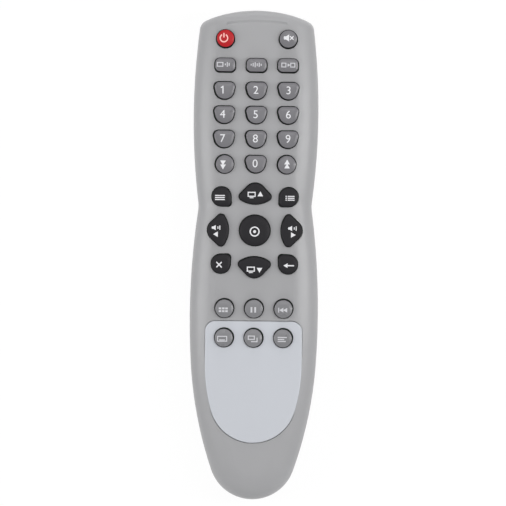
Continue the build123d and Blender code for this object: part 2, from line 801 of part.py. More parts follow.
# Controller chip, with a row of pins down each long side
with BuildPart() as controller_chip:
    with BuildSketch(Plane.XY.offset(board_bottom_z - chip_pin_thickness - chip_height)):
        with Locations((0, chip_y)):
            Rectangle(chip_width, chip_length)
    extrude(amount=chip_height)
    with BuildSketch(Plane.XY.offset(board_bottom_z - chip_pin_thickness)):
        with Locations((0, chip_y)):
            with GridLocations(0, chip_pin_pitch, 1, chip_pin_count):
                Rectangle(chip_width + 2 * chip_pin_reach, chip_pin_width)
    extrude(amount=chip_pin_thickness)

# Ceramic resonator, reservoir capacitor, driver transistor and chip resistors
with BuildPart() as resonator:
    with BuildSketch(Plane.XY.offset(board_bottom_z - resonator_size[2])):
        with Locations(resonator_place):
            RectangleRounded(resonator_size[0], resonator_size[1], resonator_round)
    extrude(amount=resonator_size[2])

with BuildPart() as reservoir_capacitor:
    with BuildSketch(Plane.XZ.offset(capacitor_length / 2 - capacitor_place[1])):
        with Locations((capacitor_place[0], board_bottom_z - capacitor_radius)):
            Circle(capacitor_radius)
    extrude(amount=-capacitor_length)
    fillet(reservoir_capacitor.edges().filter_by(GeomType.CIRCLE), radius=capacitor_round)

with BuildPart() as led_driver_transistor:
    with BuildSketch(Plane.XY.offset(board_bottom_z - transistor_stand_off - transistor_height)):
        with Locations(transistor_place):
            Circle(transistor_radius)
        with Locations((transistor_place[0], transistor_place[1] + transistor_flat + transistor_radius)):
            Rectangle(4 * transistor_radius, 2 * transistor_radius, mode=Mode.SUBTRACT)
    extrude(amount=transistor_height)
    with BuildSketch(Plane.XY.offset(board_bottom_z - transistor_stand_off)):
        with Locations(transistor_place):
            with GridLocations(transistor_lead_pitch, 0, 3, 1):
                Rectangle(lead_size, lead_size)
    extrude(amount=transistor_stand_off)

with BuildPart() as resistors:
    with BuildSketch(Plane.XY.offset(board_bottom_z - resistor_size[2])):
        with Locations(*resistor_places):
            Rectangle(resistor_size[0], resistor_size[1])
    extrude(amount=resistor_size[2])

# Cells: two of size AAA side by side, head to tail
upper_plate_y = bay_upper_y - contact_thickness
lower_plate_y = bay_lower_y + contact_thickness
left_head_y = upper_plate_y - dimple_depth - contact_gap
right_head_y = lower_plate_y + dimple_depth + contact_gap


def make_cell(axis_x, head_y, direction):
    """Return a cell whose head is at head_y and whose body runs along direction."""
    shoulder_y = head_y + direction * cell_nub_height
    foot_y = head_y + direction * cell_length
    with BuildPart() as cell:
        with BuildSketch(Plane.XY.offset(cell_axis_z)):
            with BuildLine():
                Polyline(
                    (axis_x, head_y),
                    (axis_x + cell_nub_radius, head_y),
                    (axis_x + cell_nub_radius, shoulder_y),
                    (axis_x + cell_radius - cell_rim, shoulder_y),
                    (axis_x + cell_radius, shoulder_y + direction * cell_rim),
                    (axis_x + cell_radius, foot_y - direction * cell_rim),
                    (axis_x + cell_radius - cell_rim, foot_y),
                    (axis_x, foot_y),
                    close=True,
                )
            make_face()
        revolve(axis=Axis((axis_x, 0, cell_axis_z), (0, 1, 0)))
    return cell.part


battery_left = make_cell(-cell_axis_x, left_head_y, -1)
battery_right = make_cell(cell_axis_x, right_head_y, 1)


def contact_plate(centre_x, width, back_y, direction):
    """Return a flat contact plate that stands against the end wall of the bay."""
    with BuildPart() as plate:
        with BuildSketch(Plane.XZ.offset(-back_y)):
            with Locations((centre_x, (contact_low_z + contact_high_z) / 2)):
                Rectangle(width, contact_high_z - contact_low_z)
        extrude(amount=direction * contact_thickness)
    return plate.part


def contact_dimple(centre_x, face_y, direction):
    """Return the raised disc that meets a cell's head."""
    with BuildPart() as dimple:
        with BuildSketch(Plane.XZ.offset(-face_y)):
            with Locations((centre_x, cell_axis_z)):
                Circle(dimple_radius)
        extrude(amount=direction * dimple_depth)
    return dimple.part


def contact_leaf(centre_x, face_y, cell_end_y, direction):
    """Return the bent leaf that pushes on a cell's foot."""
    half = contact_thickness / 2
    root_y = face_y + direction * half
    apex_y = cell_end_y + direction * (contact_gap + half)
    tip_y = root_y - direction * 2 * contact_thickness
    with BuildPart() as leaf:
        with BuildSketch(Plane.YZ.offset(centre_x)):
            with BuildLine() as bend:
                FilletPolyline(
                    (root_y, contact_low_z + half),
                    (apex_y, cell_axis_z),
                    (tip_y, contact_high_z - leaf_tip_drop),
                    radius=leaf_bend_radius,
                )
            trace(bend.line, contact_thickness)
        extrude(amount=leaf_width / 2, both=True)
    return leaf.part


def contact_tab(centre_x):
    """Return the soldering tab that runs from the plate, through the bay wall, under the board."""
    tab_end_y = board_end_y + tab_reach
    with BuildPart() as tab:
        with BuildSketch(Plane.XY.offset(board_bottom_z - contact_thickness)):
            with Locations((centre_x, (upper_plate_y + tab_end_y) / 2)):
                Rectangle(tab_width, tab_end_y - upper_plate_y)
        extrude(amount=contact_thickness)
    return tab.part


# Contacts: stamped and bent from nickel-plated strip
left_plate = contact_plate(-cell_axis_x, contact_width, bay_upper_y, 1)
left_dimple = contact_dimple(-cell_axis_x, upper_plate_y, 1)
left_tab = contact_tab(-cell_axis_x)
with BuildPart() as positive_contact:
    add([left_plate, left_dimple, left_tab])

right_plate = contact_plate(cell_axis_x, contact_width, bay_upper_y, 1)
right_leaf = contact_leaf(cell_axis_x, upper_plate_y, right_head_y + cell_length, 1)
right_tab = contact_tab(cell_axis_x)
with BuildPart() as negative_contact:
    add([right_plate, right_leaf, right_tab])

bridge_plate = contact_plate(0, 2 * cell_axis_x + contact_width, bay_lower_y, -1)
bridge_dimple = contact_dimple(cell_axis_x, lower_plate_y, -1)
bridge_leaf = contact_leaf(-cell_axis_x, lower_plate_y, left_head_y - cell_length, -1)
with BuildPart() as bridge_contact:
    add([bridge_plate, bridge_dimple, bridge_leaf])


def make_key(key):
    """Return a key: its cap over a tapered web, with a plunger in the hollow under it, and its pill."""
    cap = key_faces([key])
    foot = key_faces([key], web_reach)
    hollow = key_faces([key], web_reach - pocket_margin)
    cap_z = foot_z + web_height
    with BuildPart() as body:
        with BuildSketch(Plane.XY.offset(cap_z)):
            add(cap)
        extrude(amount=crown_z(key.y) + key_proud - cap_z)
        fillet(body.faces().sort_by(Axis.Z)[-1].edges(), radius=key_edge_radius)
        with BuildSketch(Plane.XY.offset(foot_z)):
            add(foot)
        with BuildSketch(Plane.XY.offset(cap_z)):
            add(cap)
        loft()
        with BuildSketch(Plane.XY.offset(foot_z)):
            add(hollow)
            with Locations((key.x, key.y)):
                Circle(plunger_radius, mode=Mode.SUBTRACT)
        extrude(amount=pocket_depth, mode=Mode.SUBTRACT)
    with BuildPart() as pill:
        with BuildSketch(Plane.XY.offset(pill_z)):
            with Locations((key.x, key.y)):
                Circle(plunger_radius)
        extrude(amount=foot_z - pill_z)
    return body.part, pill.part


pieces = {
    "top_case": top_case.part,
    "bottom_case": bottom_case.part,
    "battery_cover": battery_cover.part,
    "front_plate": front_plate.part,
    "ir_window": ir_window.part,
    "ir_led": ir_led.part,
    "circuit_board": circuit_board.part,
    "keypad_mat": keypad_mat.part,
    "board_screws": board_screws.part,
    "controller_chip": controller_chip.part,
    "resonator": resonator.part,
    "reservoir_capacitor": reservoir_capacitor.part,
    "led_driver_transistor": led_driver_transistor.part,
    "resistors": resistors.part,
    "battery_left": battery_left,
    "battery_right": battery_right,
    "positive_contact": positive_contact.part,
    "negative_contact": negative_contact.part,
    "bridge_contact": bridge_contact.part,
}
for name, key in keys.items():
    pieces[name] = Compound(children=list(make_key(key)))

os.makedirs("parts", exist_ok=True)
for name, piece in pieces.items():
    piece.label = name
    export_step(piece, f"parts/{name}.step")
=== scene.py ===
"""Satellite receiver remote control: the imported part, dressed with its finishes, keys and markings."""

import math

import bpy
from mathutils import Matrix, Vector


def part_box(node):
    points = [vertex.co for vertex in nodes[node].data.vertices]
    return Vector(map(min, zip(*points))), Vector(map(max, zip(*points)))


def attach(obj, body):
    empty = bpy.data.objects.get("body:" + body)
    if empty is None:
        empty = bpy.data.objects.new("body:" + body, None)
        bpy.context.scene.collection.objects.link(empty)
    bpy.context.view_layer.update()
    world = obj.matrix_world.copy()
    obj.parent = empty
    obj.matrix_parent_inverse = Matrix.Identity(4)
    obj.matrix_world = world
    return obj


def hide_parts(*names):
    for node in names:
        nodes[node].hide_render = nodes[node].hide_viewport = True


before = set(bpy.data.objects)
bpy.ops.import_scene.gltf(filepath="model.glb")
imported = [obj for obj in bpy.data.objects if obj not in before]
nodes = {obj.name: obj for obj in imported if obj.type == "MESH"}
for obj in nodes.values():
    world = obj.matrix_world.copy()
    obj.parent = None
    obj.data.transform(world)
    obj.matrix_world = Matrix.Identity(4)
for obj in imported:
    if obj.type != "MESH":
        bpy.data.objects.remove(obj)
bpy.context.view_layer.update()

# Camera, straight above the key face. The nose is at the top of the picture and leans a little
# to the right, as the handset lies in the photograph.
view_height = 0.2013
camera_height = 2.5
view_centre = Vector((-0.0006, 0.0009))
lean = math.radians(0.65)
sensor_width = 36
face_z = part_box("top_case")[1][2]
bpy.ops.object.camera_add(
    location=(view_centre.x, view_centre.y, face_z + camera_height),
    rotation=(0, 0, lean),
)
camera = bpy.context.object
camera.name = "camera"
camera.data.sensor_width = sensor_width
camera.data.lens = sensor_width * camera_height / view_height
bpy.context.scene.camera = camera


# Case: two shells of moulded grey plastic with a fine spark-eroded grain, which the light shows
# as a soft satin. The battery cover is moulded from the same plastic.
def new_group(name, inputs, outputs):
    """Start a shader node group with named sockets, and return it with its two end nodes."""
    group = bpy.data.node_groups.new(name, "ShaderNodeTree")
    for socket, kind in inputs:
        group.interface.new_socket(socket, in_out="INPUT", socket_type=kind)
    for socket, kind in outputs:
        group.interface.new_socket(socket, in_out="OUTPUT", socket_type=kind)
    start = group.nodes.new("NodeGroupInput")
    end = group.nodes.new("NodeGroupOutput")
    return group, start, end


def add_noise(tree, coordinates, scale, detail):
    """Add a noise texture that reads the given coordinates."""
    noise = tree.nodes.new("ShaderNodeTexNoise")
    noise.inputs["Detail"].default_value = detail
    tree.links.new(coordinates, noise.inputs["Vector"])
    if isinstance(scale, (int, float)):
        noise.inputs["Scale"].default_value = scale
    else:
        tree.links.new(scale, noise.inputs["Scale"])
    return noise


def add_math(tree, operation, first, second):
    """Add a math node over sockets or plain numbers, and return its result."""
    node = tree.nodes.new("ShaderNodeMath")
    node.operation = operation
    for slot, value in enumerate((first, second)):
        if isinstance(value, (int, float)):
            node.inputs[slot].default_value = value
        else:
            tree.links.new(value, node.inputs[slot])
    return node.outputs[0]


# The surface that all moulded pieces share: a faint mottle in the colour, a fine grain, and a
# sheen that is a little uneven from handling
noise_middle = 0.5
cloud_detail = 4
grain_detail = 2
rub_scale = 240
rub_detail = 3
rub_share = 0.16
moulded, moulded_in, moulded_out = new_group(
    "moulded_surface",
    (
        ("Color", "NodeSocketColor"),
        ("Mottle", "NodeSocketFloat"),
        ("Mottle Scale", "NodeSocketFloat"),
        ("Roughness", "NodeSocketFloat"),
        ("Grain Scale", "NodeSocketFloat"),
        ("Grain Depth", "NodeSocketFloat"),
    ),
    (
        ("Color", "NodeSocketColor"),
        ("Roughness", "NodeSocketFloat"),
        ("Normal", "NodeSocketVector"),
    ),
)
place = moulded.nodes.new("ShaderNodeTexCoord").outputs["Object"]
cloud = add_noise(moulded, place, moulded_in.outputs["Mottle Scale"], cloud_detail)
shade = add_math(moulded, "SUBTRACT", cloud.outputs["Fac"], noise_middle)
shade = add_math(moulded, "MULTIPLY", shade, moulded_in.outputs["Mottle"])
brightness = moulded.nodes.new("ShaderNodeHueSaturation")
moulded.links.new(add_math(moulded, "ADD", shade, 1.0), brightness.inputs["Value"])
moulded.links.new(moulded_in.outputs["Color"], brightness.inputs["Color"])
moulded.links.new(brightness.outputs["Color"], moulded_out.inputs["Color"])
grain = add_noise(moulded, place, moulded_in.outputs["Grain Scale"], grain_detail)
rub = add_noise(moulded, place, rub_scale, rub_detail)
sheen = add_math(moulded, "SUBTRACT", rub.outputs["Fac"], noise_middle)
sheen = add_math(moulded, "MULTIPLY", sheen, rub_share)
sheen = add_math(moulded, "ADD", moulded_in.outputs["Roughness"], sheen)
moulded.links.new(sheen, moulded_out.inputs["Roughness"])
bump = moulded.nodes.new("ShaderNodeBump")
moulded.links.new(grain.outputs["Fac"], bump.inputs["Height"])
moulded.links.new(moulded_in.outputs["Grain Depth"], bump.inputs["Distance"])
moulded.links.new(bump.outputs["Normal"], moulded_out.inputs["Normal"])


def linear(red, green, blue):
    """Return the scene colour of a screen colour given from 0 to 255."""
    channels = []
    for value in (red, green, blue):
        share = value / 255
        channels.append(share / 12.92 if share <= 0.04045 else ((share + 0.055) / 1.055) ** 2.4)
    return (*channels, 1.0)


def moulded_material(
    name, color, roughness, mottle=0.05, mottle_scale=60, grain_scale=3500, grain_depth=0.00001
):
    """Make a material whose colour, roughness and grain come from the moulded surface group."""
    material = bpy.data.materials.new(name)
    material.use_nodes = True
    tree = material.node_tree
    surface = tree.nodes.new("ShaderNodeGroup")
    surface.node_tree = moulded
    surface.inputs["Color"].default_value = color
    surface.inputs["Roughness"].default_value = roughness
    surface.inputs["Mottle"].default_value = mottle
    surface.inputs["Mottle Scale"].default_value = mottle_scale
    surface.inputs["Grain Scale"].default_value = grain_scale
    surface.inputs["Grain Depth"].default_value = grain_depth
    shader = tree.nodes["Principled BSDF"]
    tree.links.new(surface.outputs["Color"], shader.inputs["Base Color"])
    tree.links.new(surface.outputs["Roughness"], shader.inputs["Roughness"])
    tree.links.new(surface.outputs["Normal"], shader.inputs["Normal"])
    return material, shader


def add_band(tree, axis, place, reach):
    """Return 1 within reach of a place along an axis of the object's own coordinates, else 0."""
    where = tree.nodes.new("ShaderNodeTexCoord")
    split = tree.nodes.new("ShaderNodeSeparateXYZ")
    tree.links.new(where.outputs["Object"], split.inputs["Vector"])
    away = add_math(tree, "SUBTRACT", split.outputs[axis], place)
    away = add_math(tree, "ABSOLUTE", away, 0)
    return add_math(tree, "LESS_THAN", away, reach)


# The colour sockets of a Mix node, whose names repeat, by their place in its lists
mix_under = 6
mix_over = 7
mix_result = 2


def paint_band(material, mask, color):
    """Lay a colour over the material where the mask is 1."""
    tree = material.node_tree
    base = tree.nodes["Principled BSDF"].inputs["Base Color"]
    mix = tree.nodes.new("ShaderNodeMix")
    mix.data_type = "RGBA"
    tree.links.new(mask, mix.inputs["Factor"])
    tree.links.new(base.links[0].from_socket, mix.inputs[mix_under])
    mix.inputs[mix_over].default_value = color
    tree.links.new(mix.outputs[mix_result], base)


case_color = linear(163, 163, 165)
case_roughness = 0.38
case_grey, _ = moulded_material("case_grey", case_color, case_roughness)
nodes["battery_cover"].material_slots[0].material = case_grey

# The shells meet in a fine seam all the way round, half way up the side. The seam's shade is painted
# there as a dark line on both shells.
parting_z = 0.01
parting_reach = 0.00013
seam_shade_color = linear(70, 70, 72)
shell_grey_seam_shade, _ = moulded_material("shell_grey_seam_shade", case_color, case_roughness)
# Painted shade: a narrow dark band along the seam, where its shadow would fall
seam_shade_mask = add_band(shell_grey_seam_shade.node_tree, "Z", parting_z, parting_reach)
paint_band(shell_grey_seam_shade, seam_shade_mask, seam_shade_color)
for name in ("top_case", "bottom_case"):
    nodes[name].material_slots[0].material = shell_grey_seam_shade

# Front plate: a separate moulding sprayed with fine silver paint, so it is brighter and a little
# bluer than the case. It lies in a recess of the upper shell.
silver_paint, shader = moulded_material(
    "silver_paint", linear(187, 190, 196), 0.5, mottle=0.03, grain_scale=6000
)
shader.inputs["Metallic"].default_value = 0.35
shader.inputs["Coat Weight"].default_value = 0.1
shader.inputs["Coat Roughness"].default_value = 0.4
nodes["front_plate"].material_slots[0].material = silver_paint

# Infrared window: polished plastic in the nose, smoked so dark that it looks black but lets the
# infrared through. The emitter behind it is cast in clear bluish resin.
polished_grain = 0.000001
window_smoke, shader = moulded_material(
    "window_smoke", linear(38, 28, 34), 0.08, grain_depth=polished_grain
)
shader.inputs["Coat Weight"].default_value = 0.5
nodes["ir_window"].material_slots[0].material = window_smoke
emitter_resin, _ = moulded_material(
    "emitter_resin", linear(150, 165, 205), 0.12, grain_depth=polished_grain
)
nodes["ir_led"].material_slots[0].material = emitter_resin

# Keys: caps of near-black silicone rubber that stand out of the face. All but the pad's are
# painted on top, so a dark line of bare rubber shows round each of them in its hole.
key_grain = 5000
key_mottle = 0.1
rubber_black, shader = moulded_material(
    "rubber_black", linear(22, 22, 24), 0.6, grain_scale=key_grain
)
shader.inputs["Specular IOR Level"].default_value = 0.25
pad_black, shader = moulded_material(
    "pad_black", linear(28, 27, 30), 0.5, grain_scale=key_grain
)
shader.inputs["Specular IOR Level"].default_value = 0.2
key_grey, _ = moulded_material(
    "key_grey", linear(114, 113, 117), 0.3, mottle=key_mottle, grain_scale=key_grain
)
key_light_grey, _ = moulded_material(
    "key_light_grey", linear(124, 124, 127), 0.3, mottle=key_mottle, grain_scale=key_grain
)
key_red, shader = moulded_material(
    "key_red", linear(180, 10, 22), 0.42, mottle=0.06, grain_scale=key_grain
)
shader.inputs["Specular IOR Level"].default_value = 0.35

# A cap's rim is rounded, and its top rises in three rings, each an inset and a rise. The paint
# lies on the faces whose normals are upright by more than paint_lean.
rod_sides = 64
rim_radius = 0.0006
rim_steps = 5
cap_depth = 0.0084
flat_angle = math.radians(0.5)
soft_angle = math.radians(40)
wide_crown = ((0.0004, 0.00018), (0.0006, 0.00008), (0.0008, 0.00005))
mid_crown = ((0.0003, 0.00014), (0.0004, 0.00006), (0.0005, 0.00003))
slim_crown = ((0.00025, 0.00006), (0.00025, 0.00004), (0.0002, 0.00002))
paint_lean = 0.8


def deselect_all():
    """Leave nothing selected and nothing active."""
    bpy.ops.object.select_all(action="DESELECT")
    bpy.context.view_layer.objects.active = None


# How upright the normal of a top face is, and how near it lies to the highest point
level_share = 0.999
level_reach = 0.00001


def select_top(obj):
    """Select only the faces that look straight up at the top, from edit mode."""
    bpy.ops.mesh.select_all(action="DESELECT")
    bpy.ops.object.mode_set(mode="OBJECT")
    top = max(vertex.co.z for vertex in obj.data.vertices)
    for face in obj.data.polygons:
        face.select = face.normal.z > level_share and face.center.z > top - level_reach
    bpy.ops.object.mode_set(mode="EDIT")


def hull_cap(name, rods, crown_rings=wide_crown):
    """Wrap upright rods in one cap whose top is at z = 0, round its rim and crown its top."""
    deselect_all()
    for x, y, reach_x, reach_y in rods:
        bpy.ops.mesh.primitive_cylinder_add(
            vertices=rod_sides,
            radius=1,
            depth=cap_depth,
            location=(x, y, -cap_depth / 2),
            scale=(reach_x, reach_y, 1),
        )
        # The first rod becomes the cap, and the others are added inside its mesh
        if bpy.context.object.mode == "OBJECT":
            cap = bpy.context.object
            cap.name = name
            bpy.ops.object.transform_apply(location=True, rotation=True, scale=True)
            bpy.ops.object.mode_set(mode="EDIT")
    bpy.ops.mesh.select_all(action="SELECT")
    bpy.ops.mesh.convex_hull()
    bpy.ops.mesh.select_all(action="SELECT")
    bpy.ops.mesh.dissolve_limited(angle_limit=flat_angle)
    select_top(cap)
    bpy.ops.mesh.bevel(offset=rim_radius, segments=rim_steps, affect="EDGES")
    for inset, rise in crown_rings:
        select_top(cap)
        bpy.ops.mesh.inset(thickness=inset)
        bpy.ops.transform.translate(value=(0, 0, rise))
    bpy.ops.mesh.select_all(action="SELECT")
    bpy.ops.mesh.normals_make_consistent(inside=False)
    bpy.ops.object.mode_set(mode="OBJECT")
    bpy.ops.object.shade_smooth_by_angle(angle=soft_angle)
    return cap


def millimetres(*rods):
    """Turn rods given as x, y and radius, or as x, y and two reaches, into metres."""
    return [[value / 1000 for value in (rod if len(rod) == 4 else (*rod, rod[-1]))] for rod in rods]


caps = {
    "small_round": hull_cap("cap_small_round", millimetres((0, 0, 3.65))),
    "page_round": hull_cap("cap_page_round", millimetres((0, 0, 3.75))),
    "lower_round": hull_cap("cap_lower_round", millimetres((0, 0, 3.8))),
    "ok_round": hull_cap("cap_ok_round", millimetres((0, 0, 6.15))),
    "bar": hull_cap(
        "cap_bar",
        millimetres((2.15, 0.8, 2), (2.15, -0.8, 2), (-2.15, 0.8, 2), (-2.15, -0.8, 2)),
        mid_crown,
    ),
    "shield": hull_cap(
        "cap_shield",
        millimetres((0, -0.05, 3.8, 3.5), (2.15, 1.45, 2.1), (-2.15, 1.45, 2.1)),
        mid_crown,
    ),
    "drop": hull_cap("cap_drop", millimetres((0, 0, 3.85), (0, -2.7, 2.0)), mid_crown),
    "dome": hull_cap(
        "cap_dome",
        millimetres((0, -0.05, 4.3), (4.8, -1.2, 1.6), (-4.8, -1.2, 1.6), (0, -1.82, 5, 2.43)),
        slim_crown,
    ),
}

# How far each row of caps sits off the middle of its holes, in millimetres. The rubber sheet has
# stretched a little against the shell, as in the photograph.
row_shifts = {
    "top": (0.02, 0.18),
    "digit": (0.18, 0.05),
    "page": (0.16, -0.08),
    "pad": (0.05, -0.08),
    "lower": (-0.02, -0.2),
    "plate": (-0.14, -0.14),
}
# Each key: cap, turn about its middle, row, and the paint on its top
key_looks = {
    "key_power": ("small_round", 0, "top", key_red),
    "key_mute": ("small_round", 0, "top", key_grey),
    "key_tv_radio": ("bar", 0, "top", key_grey),
    "key_audio": ("bar", 0, "top", key_grey),
    "key_tv_receiver": ("bar", 0, "top", key_grey),
    "key_page_down": ("page_round", 0, "page", key_grey),
    "key_page_up": ("page_round", 0, "page", key_grey),
    "key_ok": ("ok_round", 0, "pad", pad_black),
    "key_menu": ("drop", 45, "pad", pad_black),
    "key_info": ("drop", -45, "pad", pad_black),
    "key_exit": ("drop", 135, "pad", pad_black),
    "key_back": ("drop", -135, "pad", pad_black),
    "key_channel_up": ("dome", 0, "pad", pad_black),
    "key_channel_down": ("dome", 180, "pad", pad_black),
    "key_volume_down": ("dome", 90, "pad", pad_black),
    "key_volume_up": ("dome", -90, "pad", pad_black),
    "key_guide": ("lower_round", 0, "lower", key_light_grey),
    "key_pause": ("lower_round", 0, "lower", key_light_grey),
    "key_last": ("lower_round", 0, "lower", key_light_grey),
    "key_subtitle": ("lower_round", 0, "plate", key_light_grey),
    "key_tv_system": ("lower_round", 0, "plate", key_light_grey),
    "key_teletext": ("lower_round", 0, "plate", key_light_grey),
}
for digit in range(10):
    key_looks[f"key_{digit}"] = ("shield", 0, "digit", key_grey)

# A drop's middle is that of its round end, which lies in the corner of its node's box, inside
# the web that runs round the foot
drop_radius = 0.00385
web_reach = 0.00055


def key_centre(node, shape, turn):
    """Return the middle of a cap's outline, and its top, from the box of its node."""
    low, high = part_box(node)
    middle = Vector(((low[0] + high[0]) / 2, (low[1] + high[1]) / 2))
    if shape == "drop":
        away = Vector((-math.sin(math.radians(turn)), math.cos(math.radians(turn))))
        for axis in (0, 1):
            corner = high[axis] if away[axis] > 0 else low[axis]
            middle[axis] = corner - math.copysign(drop_radius + web_reach, away[axis])
    return middle, high[2]


key_tops = {}
for node, (shape, turn, row, paint) in key_looks.items():
    middle, top = key_centre(node, shape, turn)
    shift_x, shift_y = (value / 1000 for value in row_shifts[row])
    spot = Vector((middle.x + shift_x, middle.y + shift_y, top))
    cap = caps[shape].copy()
    cap.data = caps[shape].data.copy()
    cap.name = f"cap_{node}"
    bpy.context.collection.objects.link(cap)
    crown = max(vertex.co.z for vertex in cap.data.vertices)
    cap.data.transform(Matrix.Rotation(math.radians(turn), 4, "Z"))
    cap.data.transform(Matrix.Translation(spot - Vector((0, 0, crown))))
    cap.data.materials.append(rubber_black)
    cap.data.materials.append(paint)
    for face in cap.data.polygons:
        face.material_index = 1 if face.normal.z > paint_lean else 0
    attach(cap, node)
    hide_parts(node)
    key_tops[node] = spot

# The first cap of each shape has been copied to its keys, and goes
for cap in caps.values():
    bpy.data.objects.remove(cap)

# Markings: printed on the key tops in white ink, thinner on the bars and the lower keys, and
# pinkish on the red key. The digits are plain numbers, and the other keys carry plain signs.
ink_mottle = 0.04
thin_ink_mottle = 0.12
ink_cloud = 900
ink_white, _ = moulded_material(
    "ink_white", linear(232, 232, 235), 0.5, mottle=ink_mottle, mottle_scale=ink_cloud
)
ink_pale, _ = moulded_material(
    "ink_pale", linear(205, 205, 209), 0.5, mottle=thin_ink_mottle, mottle_scale=ink_cloud
)
ink_pink, _ = moulded_material(
    "ink_pink", linear(255, 196, 188), 0.5, mottle=ink_mottle, mottle_scale=ink_cloud
)
ink_proud = 0.00002
ink_depth = 0.0002

# Where two strokes of a sign cross, one is lifted by so many millimetres, so that their tops
# don't lie in one plane
small_lift = 0.005
large_lift = 0.01


def start_sign():
    """Open an empty mesh in edit mode, to hold one key's sign."""
    deselect_all()
    bpy.ops.object.add(type="MESH")
    sign = bpy.context.object
    bpy.ops.object.mode_set(mode="EDIT")
    return sign


def print_bar(x, y, width, height, turn=0, lift=0):
    """Print a straight bar, in millimetres about the sign's middle."""
    bpy.ops.mesh.primitive_cube_add(
        size=1,
        location=(x / 1000, y / 1000, lift / 1000 - ink_depth / 2),
        rotation=(0, 0, math.radians(turn)),
        scale=(width / 1000, height / 1000, ink_depth),
    )


def print_disc(x, y, radius, sides=32, turn=0, lift=0):
    """Print a disc, or with three sides a triangle, in millimetres about the sign's middle."""
    bpy.ops.mesh.primitive_cylinder_add(
        vertices=sides,
        radius=radius / 1000,
        depth=ink_depth,
        location=(x / 1000, y / 1000, lift / 1000 - ink_depth / 2),
        rotation=(0, 0, math.radians(turn)),
    )


# A ring is made of short bars, one for every so many degrees
ring_step = 10


def print_ring(x, y, radius, line, gap=0):
    """Print a ring of short bars, open at the top over the given angle."""
    sweep = 360 - gap
    steps = sweep // ring_step
    length = 2 * math.pi * (radius + line / 2) / (360 / ring_step)
    for step in range(steps):
        angle = gap / 2 + sweep * (step + 0.5) / steps
        print_bar(
            x + radius * math.sin(math.radians(angle)),
            y + radius * math.cos(math.radians(angle)),
            length,
            line,
            turn=-angle,
            lift=small_lift * (step % 2),
        )


def print_frame(x, y, width, height, line):
    """Print the outline of a rectangle from four bars."""
    for side in (-1, 1):
        print_bar(x, y + side * (height - line) / 2, width, line)
        print_bar(x + side * (width - line) / 2, y, line, height - 2 * line)


def finish_sign(sign, node, shift, ink):
    """Lay the sign on its key, shifted by millimetres from the key's middle."""
    bpy.ops.mesh.select_all(action="SELECT")
    bpy.ops.mesh.normals_make_consistent(inside=False)
    bpy.ops.object.mode_set(mode="OBJECT")
    spot = key_tops[node] + Vector((shift[0] / 1000, shift[1] / 1000, ink_proud))
    sign.name = f"sign_{node}"
    sign.data.transform(Matrix.Translation(spot))
    sign.data.materials.append(ink)
    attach(sign, node)


# The digits' outlines are swelled a little, joined where they cross themselves, and filled. They
# sit further to the left in the left column. The 1 gets a flag.
digit_size = 0.0045
digit_swell = 0.00003
outline_join = 0.00004
column_shifts = (-0.75, -0.35, -0.05)
for digit in range(10):
    column = 1 if digit == 0 else (digit - 1) % 3
    deselect_all()
    bpy.ops.object.text_add()
    sign = bpy.context.object
    sign.data.body = str(digit)
    sign.data.size = digit_size
    sign.data.align_x = "CENTER"
    sign.data.align_y = "CENTER"
    sign.data.offset = digit_swell
    sign.data.fill_mode = "NONE"
    bpy.ops.object.convert(target="MESH")
    sign = bpy.context.object
    bpy.ops.object.mode_set(mode="EDIT")
    bpy.ops.mesh.select_all(action="SELECT")
    bpy.ops.mesh.remove_doubles(threshold=outline_join)
    bpy.ops.mesh.fill()
    bpy.ops.mesh.select_all(action="SELECT")
    bpy.ops.mesh.extrude_region_move(TRANSFORM_OT_translate={"value": (0, 0, -ink_depth)})
    if digit == 1:
        print_bar(-0.42, 1.2, 0.95, 0.42, turn=38, lift=small_lift)
    finish_sign(sign, f"key_{digit}", (column_shifts[column], 0.1), ink_white)

# Power: an open ring and a bar
sign = start_sign()
print_ring(0, -0.1, 1.5, 0.5, gap=60)
print_bar(0, 1.0, 0.5, 1.8)
finish_sign(sign, "key_power", (-0.65, 0.2), ink_pink)


def print_speaker(x, y, size):
    """Print a loudspeaker that faces right."""
    print_bar(x - 0.55 * size, y, 0.5 * size, 0.8 * size)
    print_disc(x, y, size, sides=3, turn=90, lift=large_lift)


def print_cross(x, y, length, line):
    """Print a cross from one long bar and two short ones."""
    print_bar(x, y, length, line, turn=45)
    short = (length - line) / 2
    reach = (length + line) / 4 * math.sqrt(0.5)
    for side in (-1, 1):
        print_bar(x + side * reach, y - side * reach, short, line, turn=-45)


# Mute: a loudspeaker and a cross
sign = start_sign()
print_speaker(-0.5, 0, 1.6)
print_cross(1.35, 0, 2.0, 0.42)
finish_sign(sign, "key_mute", (0.0, 0.4), ink_white)

# Row of bars: a screen with sound, sound alone, and one screen after another
thin_line = 0.38
sign = start_sign()
print_frame(-1.3, 0, 2.6, 1.9, thin_line)
for step, height in enumerate((0.7, 1.9, 1.2)):
    print_bar(0.8 + 0.75 * step, 0, 0.4, height)
finish_sign(sign, "key_tv_radio", (-0.75, 0.1), ink_pale)

sign = start_sign()
for step, height in enumerate((0.7, 1.4, 2.0, 1.1, 1.7, 0.8)):
    print_bar(-2.0 + 0.8 * step, 0, 0.42, height)
finish_sign(sign, "key_audio", (-0.2, 0.1), ink_pale)

sign = start_sign()
print_frame(-1.7, 0, 2.0, 1.9, thin_line)
print_disc(0.15, 0, 0.75, sides=3, turn=-90)
print_frame(1.85, 0, 2.0, 1.9, thin_line)
finish_sign(sign, "key_tv_receiver", (0, 0.1), ink_pale)

# Page keys: two triangles each
for node, turn, shift in (("key_page_down", 60, -0.75), ("key_page_up", 0, 0.05)):
    sign = start_sign()
    for y, lift in ((-0.8, 0), (0.8, large_lift)):
        print_disc(0, y, 1.3, sides=3, turn=turn, lift=lift)
    finish_sign(sign, node, (shift, 0), ink_white)

# Corner keys: lines, a list with its dots, a cross, and an arrow to the left
sign = start_sign()
for y in (-0.8, 0, 0.8):
    print_bar(0, y, 3.9, 0.42)
finish_sign(sign, "key_menu", (-0.65, -0.4), ink_white)

